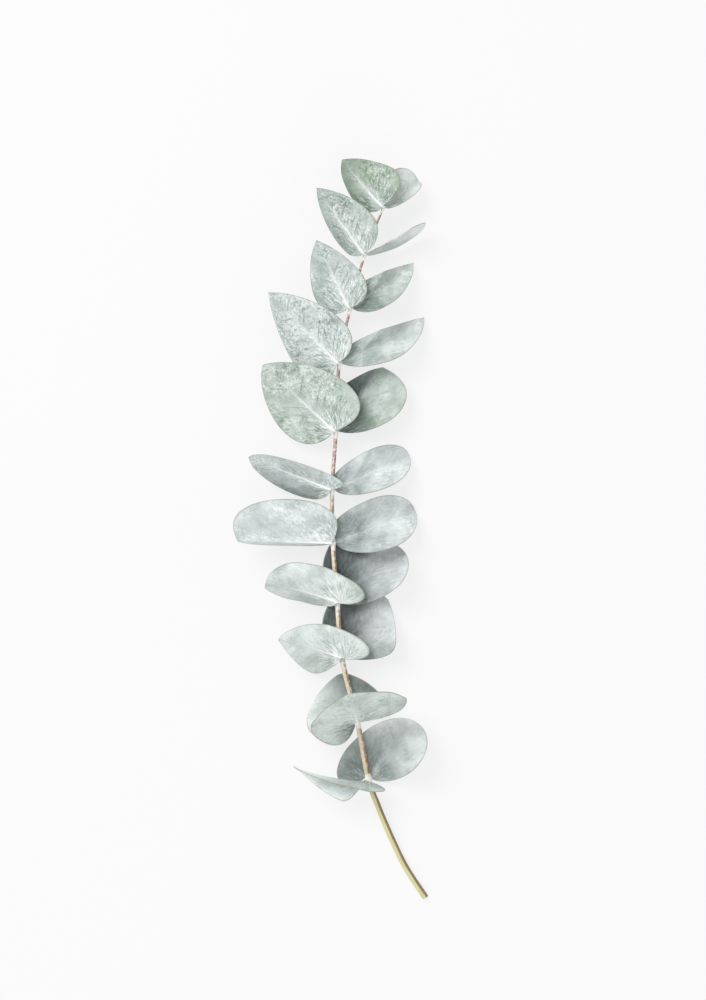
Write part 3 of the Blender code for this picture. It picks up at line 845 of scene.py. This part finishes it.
def rib_tree(material):
    """Strands along lines: a round bar whose radius each point of the line gives."""
    tree, start, end = new_tree("ribs along lines", [("Sides", "Int", 8), ("Radius scale", "Float", 1.0)])
    curve = add(tree, "GeometryNodeMeshToCurve", {"Mesh": start["Geometry"]})
    ring = add(tree, "GeometryNodeCurvePrimitiveCircle", {"Resolution": start["Sides"], "Radius": MM})
    radius = add(tree, "GeometryNodeInputNamedAttribute", {"Name": "radius"}, data_type="FLOAT")
    radius = add(tree, "ShaderNodeMath", [radius, start["Radius scale"]], operation="MULTIPLY")
    bar = add(
        tree, "GeometryNodeCurveToMesh",
        {"Curve": curve, "Profile Curve": ring, "Scale": radius, "Fill Caps": True},
    )
    bar = add(tree, "GeometryNodeSetShadeSmooth", {"Geometry": bar})
    bar = add(tree, "GeometryNodeRealizeInstances", {"Geometry": bar})
    feed(tree, end, [add(tree, "GeometryNodeSetMaterial", {"Geometry": bar, "Material": material})])
    return tree


def bark_tree(bark, cut_wood):
    """Bark relief: shallow lumps raised on the plain stem, but not on the cut face."""
    sizes = [("Lump height", "Float", 0.06 * MM), ("Lump size", "Float", 1.6 * MM)]
    tree, start, end = new_tree("bark relief", sizes)
    on_cut = add(tree, "GeometryNodeInputNamedAttribute", {"Name": "cut"}, data_type="BOOLEAN")
    off_cut = add(tree, "FunctionNodeBooleanMath", [on_cut], operation="NOT")
    place = add(tree, "GeometryNodeInputPosition")
    scale = add(tree, "ShaderNodeMath", [1.0, start["Lump size"]], operation="DIVIDE")
    lumps = add(
        tree, "ShaderNodeTexNoise", {"Vector": place, "Scale": scale, "Detail": 3, "Roughness": 0.6}
    )
    lift = add(tree, "ShaderNodeMath", [lumps, 0.5], operation="SUBTRACT")
    lift = add(tree, "ShaderNodeMath", [lift, start["Lump height"]], operation="MULTIPLY")
    outwards = add(tree, "GeometryNodeInputNormal")
    offset = add(tree, "ShaderNodeVectorMath", [outwards, lift], operation="SCALE")
    made = add(
        tree, "GeometryNodeSetPosition",
        {"Geometry": start["Geometry"], "Selection": off_cut, "Offset": offset},
    )
    made = add(tree, "GeometryNodeRealizeInstances", {"Geometry": made})
    made = add(tree, "GeometryNodeSetMaterial", {"Geometry": made, "Material": bark})
    made = add(
        tree, "GeometryNodeSetMaterial", {"Geometry": made, "Selection": on_cut, "Material": cut_wood}
    )
    feed(tree, end, [made])
    return tree


def crumb_tree(material):
    """Wax crumbs scattered over a surface as its "crust" attribute says, sunk halfway into it."""
    sizes = [("Crumbs per square mm", "Float", 2.0), ("Crumb radius", "Float", 0.12 * MM), ("Seed", "Int", 7)]
    tree, start, end = new_tree("wax crumbs", sizes)
    density = add(tree, "GeometryNodeInputNamedAttribute", {"Name": "crust"}, data_type="FLOAT")
    per_metre = add(tree, "ShaderNodeMath", [start["Crumbs per square mm"], 1 / MM**2], operation="MULTIPLY")
    density = add(tree, "ShaderNodeMath", [per_metre, density], operation="MULTIPLY")
    points = add(
        tree, "GeometryNodeDistributePointsOnFaces",
        {"Mesh": start["Geometry"], "Density": density, "Seed": start["Seed"]},
    ).outputs
    crumb = add(tree, "GeometryNodeMeshIcoSphere", {"Radius": start["Crumb radius"], "Subdivisions": 1})
    crumb_size = add(
        tree, "FunctionNodeRandomValue",
        {"Min": (0.5, 0.5, 0.3), "Max": (1.9, 1.5, 0.9), "Seed": start["Seed"]}, data_type="FLOAT_VECTOR",
    )
    made = add(
        tree, "GeometryNodeInstanceOnPoints",
        {"Points": points["Points"], "Instance": crumb, "Rotation": points["Rotation"],
         "Scale": crumb_size},
    )
    made = add(tree, "GeometryNodeRealizeInstances", {"Geometry": made})
    feed(tree, end, [add(tree, "GeometryNodeSetMaterial", {"Geometry": made, "Material": material})])
    return tree


def new_mesh(name, points, edges, faces, attributes):
    """A mesh of points in millimetres, in the branch's own frame, with its attributes by name."""
    mesh = bpy.data.meshes.new(name)
    mesh.from_pydata([tuple(p) for p in (np.asarray(points) - CENTRE) * MM], edges, faces)
    for label, (kind, values) in attributes.items():
        layer = mesh.attributes.new(label, kind, "POINT")
        field = "vector" if kind == "FLOAT_VECTOR" else "value"
        layer.data.foreach_set(field, np.asarray(values, bool if kind == "BOOLEAN" else float).ravel())
    return mesh


def show(name, mesh, nodes=()):
    """Makes the finished mesh a piece of the branch, which stands for nodes."""
    piece = bpy.data.objects.new(name, mesh)
    bpy.context.scene.collection.objects.link(piece)
    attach(piece, "root")
    if nodes:
        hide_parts(*nodes)
    return piece


def blade_mesh(name, leaf, pair, side, look, materials):
    """One closed blade: an upper and an under skin with a rounded margin between them, gathered to a point
    at the foot and at the tip. materials are those of the face that is up, the face that is down and the
    margin."""
    rows, columns = look.rows, look.columns
    stations = np.linspace(0, 1, rows + 2)[1:-1]
    strips = np.linspace(-1, 1, columns + 1)
    t, s = np.meshgrid(stations, strips, indexing="ij")
    middle, normal, across, half, flat, number, gap = blade_at(leaf, pair, side, t, s, look)
    top = middle + half[..., None] * normal
    bottom = middle - half[..., None] * normal
    rim = look.rim / MM
    right_rim = middle[:, 0] - rim * across[:, 0]
    left_rim = middle[:, -1] + rim * across[:, -1]
    loops = np.concatenate([top, left_rim[:, None], bottom[:, ::-1], right_rim[:, None]], axis=1)
    wide = loops.shape[1]
    order = np.concatenate([np.arange(columns + 1), [columns], np.arange(columns, -1, -1), [0]])
    ends = [loops[0].mean(axis=0), loops[-1].mean(axis=0)]
    points = np.vstack([loops.reshape(-1, 3), ends])

    # How far each place is from the margin, which runs round the foot and the point as well.
    margin = (1 - np.abs(s)) * np.abs(flat[:, [0, -1], 1]).max(axis=1)[:, None]
    ahead = flat[:, columns // 2, 0]
    to_end = np.minimum(ahead, ahead[-1] - ahead)
    margin = np.minimum(margin, 0.6 + to_end[:, None])
    blade = np.stack([flat[..., 0], flat[..., 1], margin], axis=-1)[:, order]
    veins = np.stack([number, gap, np.abs(s) * 2 + t], axis=-1)[:, order]

    def with_ends(values):
        values = values.reshape(-1, 3)
        return np.vstack([values, values[0], values[-1]])

    finish = np.tile(leaf["finish"][:3], (len(points), 1))
    # Each leaf's painted shade: how dark, how far from the foot, and how much on one half.
    painted_shade = np.tile(leaf["finish"][3:], (len(points), 1))
    faces = []
    kinds = []
    kind_of = [0] * columns + [2, 2] + [1] * columns + [2, 2]
    for i in range(rows - 1):
        for j in range(wide):
            k = (j + 1) % wide
            faces.append((i * wide + j, (i + 1) * wide + j, (i + 1) * wide + k, i * wide + k))
            kinds.append(kind_of[j])
    foot, point = rows * wide, rows * wide + 1
    last = (rows - 1) * wide
    for j in range(wide):
        k = (j + 1) % wide
        faces.append((foot, j, k))
        faces.append((point, last + k, last + j))
        kinds += [kind_of[j]] * 2
    mesh = new_mesh(
        name, points, [], faces,
        {
            "blade": ("FLOAT_VECTOR", with_ends(blade)),
            "veins": ("FLOAT_VECTOR", with_ends(veins)),
            "finish": ("FLOAT_VECTOR", finish),
            "painted_shade": ("FLOAT_VECTOR", painted_shade),
        },
    )
    for material in materials:
        mesh.materials.append(material)
    mesh.polygons.foreach_set("material_index", kinds)
    mesh.shade_smooth()
    return mesh


def rib_lines(leaf, pair, side, look):
    """The ribs on a leaf's under face, as a mesh of lines: the midrib, which starts inside the stem, and the
    lateral veins, each thinning as it runs out and thinner towards the point of the leaf."""
    lines = []
    joint = np.array(STEM[FIRST_JOINT + pair - 1])

    def on_face(t, s):
        middle, normal, across, half, flat, number, gap = blade_at(leaf, pair, side, t, s, look)
        return middle + side * half[..., None] * normal

    t = RIB_START + (RIB_STOP - RIB_START) * np.linspace(0, 1, MIDRIB_POINTS) ** 1.3
    run = on_face(t, np.zeros_like(t))
    thick = look.midrib / MM * (RIB_END + (1 - RIB_END) * (1 - t) ** RIB_TAPER)
    lead = np.linspace(0, 1, LEAD_POINTS + 1)[:-1, None]
    run = np.vstack([joint[:3] * (1 - lead) + run[0] * lead, run])
    thick = np.concatenate([look.foot / MM * (1 - lead[:, 0]) + thick[0] * lead[:, 0], thick])
    lines.append((run, thick, np.concatenate([np.zeros(len(lead)), t])))
    for way in (1, -1):
        for number in range(-1, VEIN_COUNT):
            s = np.linspace(0.02, VEIN_END, VEIN_POINTS) * way
            t = vein_place(number, s)
            kept = (t > VEIN_FIRST) & (t < VEIN_LAST)
            if kept.sum() < 6:
                continue
            s, t = s[kept], t[kept]
            share = np.linspace(0, 1, len(s))
            thick = VEIN_THIN_END + (1 - VEIN_THIN_END) * (1 - share) ** VEIN_TAPER
            thick = look.vein / MM * thick * (1 - 0.7 * t[0])
            lines.append((on_face(t, s), thick, 0.35 + share))
    points, edges, radius, reach = [], [], [], []
    for run, thick, share in lines:
        start = len(points)
        points += list(run)
        radius += list(thick)
        reach += list(share)
        edges += [(start + i, start + i + 1) for i in range(len(run) - 1)]
    attributes = {"radius": ("FLOAT", radius), "reach": ("FLOAT", reach)}
    return new_mesh(f"rib lines {pair}", points, edges, [], attributes)


def stem_mesh(look):
    """The stem as rings round its axis: a cut face with a sunken pith and a chamfered bark edge, a swelling
    at each joint and a rounded tip. Its attributes say how far a place is along, from a joint and round."""
    axis, radius = stem_curve(look.steps)
    lengths = np.linalg.norm(np.diff(axis, axis=0), axis=1)
    along = np.concatenate([[0], np.cumsum(lengths)])
    joints = np.array(STEM)[FIRST_JOINT:, :3]
    to_joint = np.linalg.norm(axis[:, None] - joints[None], axis=2).min(axis=1)
    radius = radius + look.swelling / MM * np.exp(-((to_joint / SWELLING_WIDTH) ** 2))
    radius = radius + look.collar / MM * np.exp(-((to_joint / COLLAR_WIDTH) ** 2))
    forward = np.gradient(axis, axis=0)
    forward = forward / np.linalg.norm(forward, axis=1, keepdims=True)

    # The cut face from its middle outwards: share of the radius, and how far it lies inside the stem's end.
    cut = [(0.04, 0.12), (0.18, 0.12), (0.3, 0.02), (0.6, 0.0), (0.86, 0.0), (0.96, 0.08)]
    tip = [(0.95, 0.15), (0.8, 0.35), (0.5, 0.52), (0.12, 0.6)]
    rings = [axis[0] + forward[0] * depth for share, depth in cut]
    sizes = [radius[0] * share for share, depth in cut]
    rings += list(axis[1:])
    sizes += list(radius[1:])
    rings += [axis[-1] + forward[-1] * radius[-1] * depth for share, depth in tip]
    sizes += [radius[-1] * share for share, depth in tip]
    ways = [forward[0]] * len(cut) + list(forward[1:]) + [forward[-1]] * len(tip)
    rings, sizes, ways = np.array(rings), np.array(sizes), np.array(ways)
    right = np.cross(ways, [0, 0, 1])
    right = right / np.linalg.norm(right, axis=1, keepdims=True)
    up = np.cross(right, ways)
    sides = look.sides
    turn = np.linspace(0, 2 * np.pi, sides, endpoint=False)
    points = rings[:, None] + sizes[:, None, None] * (
        np.cos(turn)[None, :, None] * right[:, None] + np.sin(turn)[None, :, None] * up[:, None]
    )
    far = np.concatenate([np.zeros(len(cut)), along[1:], np.full(len(tip), along[-1])])
    near = np.concatenate([[share for share, depth in cut], to_joint[1:], np.zeros(len(tip))])
    stem = np.stack(np.broadcast_arrays(far[:, None], near[:, None], sizes[:, None] * turn), axis=-1)
    # Marks the +x side, away from the key light, for browner bark: partly its own colour and partly painted
    # shade.
    brown_shaded_side = np.broadcast_to(0.5 + 0.5 * np.cos(turn), points.shape[:2])
    crust = np.exp(-((near / SWELLING_WIDTH) ** 2)) + THIN_CRUST
    crust[: len(cut) + 2] = 0
    crust = np.broadcast_to(crust[:, None], points.shape[:2])
    on_cut = np.zeros(points.shape[:2], bool)
    on_cut[: len(cut) - 1] = True
    faces = []
    for i in range(len(rings) - 1):
        for j in range(sides):
            k = (j + 1) % sides
            a, b = i * sides, (i + 1) * sides
            faces.append((a + j, b + j, b + k, a + k))
    faces.append(tuple(range(sides)))
    faces.append(tuple((len(rings) - 1) * sides + j for j in range(sides))[::-1])
    mesh = new_mesh(
        "plain stem", points.reshape(-1, 3), [], faces,
        {
            "stem": ("FLOAT_VECTOR", stem),
            "brown_shaded_side": ("FLOAT", brown_shaded_side),
            "crust": ("FLOAT", crust),
            "cut": ("BOOLEAN", on_cut),
        },
    )
    mesh.shade_smooth()
    return mesh


def every_leaf():
    """Each leaf's group, pair and side of the stem, and its full row."""
    for group, side, rows, finishes in (("front", 1, FRONT, FRONT_FINISH), ("back", -1, BACK, BACK_FINISH)):
        for pair, row in rows.items():
            yield group, pair, side, {**USUAL, **row, "finish": finishes[pair]}


class LeafLook(bpy.types.PropertyGroup):
    """Sizes and colours of the leaf blades and their ribs."""

    rows: IntProperty(name="Rows", description="Cells along a blade", default=96, min=12)
    columns: IntProperty(name="Columns", description="Cells across a blade", default=64, min=8)
    thickness: size("Thickness", "Blade thickness near the midrib", 0.42)
    margin_thickness: size("Margin thickness", "Blade thickness at the margin", 0.26)
    rim: size("Rim", "How far the rounded margin stands out", 0.1)
    keel: size("Keel", "How far the blade is raised along the midrib", 0.22)
    quilting: size("Quilting", "How far the blade sinks between veins", 0.03)
    buckling: size("Buckling", "Height of the uneven swell of the blade", 0.09)
    foot: size("Foot", "Radius of the midrib where it joins the stem", 0.85)
    midrib: size("Midrib", "Radius of the midrib at the leaf's foot", 0.42)
    vein: size("Vein", "Radius of a lateral vein at the midrib", 0.08)
    wax_colour: tint("Wax", "Thick wax bloom", "#DDE2E2")
    young_wax: tint("Young wax", "Wax bloom on the greenest blades", "#D6DFD8")
    blade_colour: tint("Blade", "Blade under thin wax", "#7C8A89")
    young_colour: tint("Young blade", "Greenest blade under thin wax", "#768C74")
    # Painted shade that stands for the shadow of the stem and the leaves above, beside the stem.
    painted_shade_colour: tint("Painted shade", "Bare blade beside the stem", "#2F3B3A")
    vein_colour: tint("Vein", "Lateral veins away from the midrib", "#5E7267")
    speck_colour: tint("Speck", "Bare specks on the greenest blades", "#6A8468")
    rib_colour: tint("Rib", "Midrib and foot", "#F0F2EF")
    spent_colour: tint("Rib end", "Ribs where they run out", "#B4BEB7")
    margin_green: tint("Margin", "Rubbed margin", "#8E9F86")
    margin_red: tint("Margin tinge", "Reddish stretches of the margin", "#9A8A78")


class StemLook(bpy.types.PropertyGroup):
    """Sizes and colours of the stem, its cut end and its wax."""

    steps: IntProperty(name="Steps", description="Rings between two rows of the stem", default=48, min=4)
    sides: IntProperty(name="Sides", description="Points round the stem", default=32, min=8)
    swelling: size("Swelling", "How far the stem swells at a joint", 0.28)
    collar: size("Collar", "Height of the narrow ring at a joint", 0.22)
    lump_height: size("Lump height", "Height of the bark's relief", 0.12)
    lump_size: size("Lump size", "Width of the bark's lumps", 1.6)
    crumbs: FloatProperty(name="Crumbs", description="Wax crumbs per square mm at a joint", default=5.0)
    crumb_radius: size("Crumb radius", "Radius of a wax crumb", 0.13)
    wax_colour: tint("Wax", "Crusted wax", "#E8E4E0")
    rib_colour: tint("Old wax", "Older, duller wax", "#D6CFC8")
    olive_colour: tint("Olive", "Bark near the cut end", "#C3C495")
    # The grain colours also darken the side of the stem away from the key light, partly as painted shade.
    olive_shade: tint("Olive grain", "Bark grain near the cut end", "#846C42")
    tan_colour: tint("Tan", "Bark of the lower joints", "#D3C6AE")
    brown_colour: tint("Brown", "Bark grain of the lower joints", "#9A754C")
    rose_colour: tint("Rose", "Bark of the upper joints", "#A3887E")
    rose_shade: tint("Rose grain", "Bark grain of the upper joints", "#77564D")
    cut_colour: tint("Cut wood", "Freshly cut wood", "#DAD7B4")


class StageLook(bpy.types.PropertyGroup):
    """The table, the light and the camera."""

    floor_size: FloatProperty(
        name="Table size", description="Width of the table top", default=24.0, unit="LENGTH"
    )
    floor_colour: tint("Table", "Table top", "#6F6E6D")
    glow_colour: tint("Glow colour", "Light that the top gives off", "#FEFEFF")
    glow: FloatProperty(name="Glow", description="Strength of the top's own light", default=0.765)
    key_power: FloatProperty(name="Key light", description="Power of the main light", default=39.0)
    fill_power: FloatProperty(name="Fill light", description="Power of the weaker light", default=9.0)
    lamp_size: FloatProperty(
        name="Light size", description="Width of each light", default=1.4, unit="LENGTH"
    )
    sky: FloatProperty(name="Sky", description="Strength of the even light all round", default=0.72)
    lens: FloatProperty(name="Lens", description="Focal length in millimetres", default=85.0)


class BRANCH_OT_stem(bpy.types.Operator):
    """Builds the barked stem with its cut end"""

    bl_idname = "branch.stem"
    bl_label = "Stem"

    def execute(self, context):
        look = context.scene.stem_look
        tree = bark_tree(bark_material(look), cut_wood_material(look))
        values = {"Lump height": look.lump_height, "Lump size": look.lump_size}
        mesh = grow(stem_mesh(look), tree, values)
        mesh.name = "stem"
        show("stem_bark", mesh, ["stem"])
        return {"FINISHED"}


class BRANCH_OT_wax(bpy.types.Operator):
    """Scatters wax crumbs over the stem, thickest at the joints"""

    bl_idname = "branch.wax"
    bl_label = "Wax crust"

    def execute(self, context):
        look = context.scene.stem_look
        values = {"Crumbs per square mm": look.crumbs, "Crumb radius": look.crumb_radius}
        mesh = grow(stem_mesh(look), crumb_tree(wax_material(look)), values)
        mesh.name = "wax crust"
        show("joint_wax", mesh)
        return {"FINISHED"}


class BRANCH_OT_leaves(bpy.types.Operator):
    """Builds every leaf blade, in front of the stem and behind it"""

    bl_idname = "branch.leaves"
    bl_label = "Leaf blades"

    def execute(self, context):
        look = context.scene.leaf_look
        under, upper = leaf_face("leaf under face", look), leaf_face("leaf upper face", look)
        margin = leaf_margin(look)
        materials = {"front": (under, upper, margin), "back": (upper, under, margin)}
        for group, pair, side, leaf in every_leaf():
            name = f"blade_{group}_{pair:02d}"
            mesh = blade_mesh(name, leaf, pair, side, look, materials[group])
            show(name, mesh, [f"leaf_{group}_{pair:02d}"])
        return {"FINISHED"}


class BRANCH_OT_ribs(bpy.types.Operator):
    """Builds the midrib and the lateral veins on the under face of every leaf"""

    bl_idname = "branch.ribs"
    bl_label = "Leaf ribs"

    def execute(self, context):
        look = context.scene.leaf_look
        tree = rib_tree(rib_material(look))
        for group, pair, side, leaf in every_leaf():
            mesh = grow(rib_lines(leaf, pair, side, look), tree, {"Sides": 8, "Radius scale": 1.0})
            mesh.name = f"ribs_{group}_{pair:02d}"
            show(mesh.name, mesh)
        return {"FINISHED"}


class BRANCH_OT_stage(bpy.types.Operator):
    """Sets up the table, the light and the camera"""

    bl_idname = "branch.stage"
    bl_label = "Table, light and camera"

    def execute(self, context):
        look = context.scene.stage_look
        scene = context.scene
        half = look.floor_size / 2
        mesh = bpy.data.meshes.new("table top")
        corners = [(-half, -half, 0), (half, -half, 0), (half, half, 0), (-half, half, 0)]
        mesh.from_pydata(corners, [], [(0, 1, 2, 3)])
        mesh.materials.append(table_material(look))
        floor = bpy.data.objects.new("table_top", mesh)
        scene.collection.objects.link(floor)

        for name, power, place in (
            ("key light", look.key_power, KEY_PLACE), ("fill light", look.fill_power, FILL_PLACE)
        ):
            lamp = bpy.data.lights.new(name, "AREA")
            lamp.energy = power
            lamp.size = look.lamp_size
            light = bpy.data.objects.new(name, lamp)
            light.location = place
            light.rotation_mode = "QUATERNION"
            light.rotation_quaternion = (-light.location).to_track_quat("-Z", "Y")
            scene.collection.objects.link(light)

        world = bpy.data.worlds.new("even white light")
        world.use_nodes = True
        background = world.node_tree.nodes["Background"]
        background.inputs["Color"].default_value = (1, 1, 1, 1)
        background.inputs["Strength"].default_value = look.sky
        scene.world = world
        scene.view_settings.view_transform = "Standard"

        lens = bpy.data.cameras.new("camera")
        lens.lens = look.lens
        camera = bpy.data.objects.new("camera", lens)
        camera.location = CAMERA_PLACE
        scene.collection.objects.link(camera)
        scene.camera = camera
        return {"FINISHED"}


class BRANCH_PT_parts(bpy.types.Panel):
    """Lists the pieces of the branch with their sizes and colours"""

    bl_idname = "BRANCH_PT_parts"
    bl_label = "Eucalyptus branch"
    bl_space_type = "VIEW_3D"
    bl_region_type = "UI"
    bl_category = "Branch"

    def draw(self, context):
        layout = self.layout
        for operator in OPERATORS:
            layout.operator(operator.bl_idname)
        for look in (context.scene.leaf_look, context.scene.stem_look, context.scene.stage_look):
            box = layout.box()
            for name in look.__annotations__:
                box.prop(look, name)


OPERATORS = (BRANCH_OT_stem, BRANCH_OT_wax, BRANCH_OT_leaves, BRANCH_OT_ribs, BRANCH_OT_stage)
LOOKS = {"leaf_look": LeafLook, "stem_look": StemLook, "stage_look": StageLook}
CLASSES = (*LOOKS.values(), *OPERATORS, BRANCH_PT_parts)


def register():
    for kind in CLASSES:
        bpy.utils.register_class(kind)
    for name, kind in LOOKS.items():
        setattr(bpy.types.Scene, name, PointerProperty(type=kind))


def unregister():
    for name in LOOKS:
        delattr(bpy.types.Scene, name)
    for kind in reversed(CLASSES):
        bpy.utils.unregister_class(kind)


def main():
    register()
    bpy.ops.branch.stem()
    bpy.ops.branch.wax()
    bpy.ops.branch.leaves()
    bpy.ops.branch.ribs()
    bpy.ops.branch.stage()


if __name__ == "__main__":
    main()
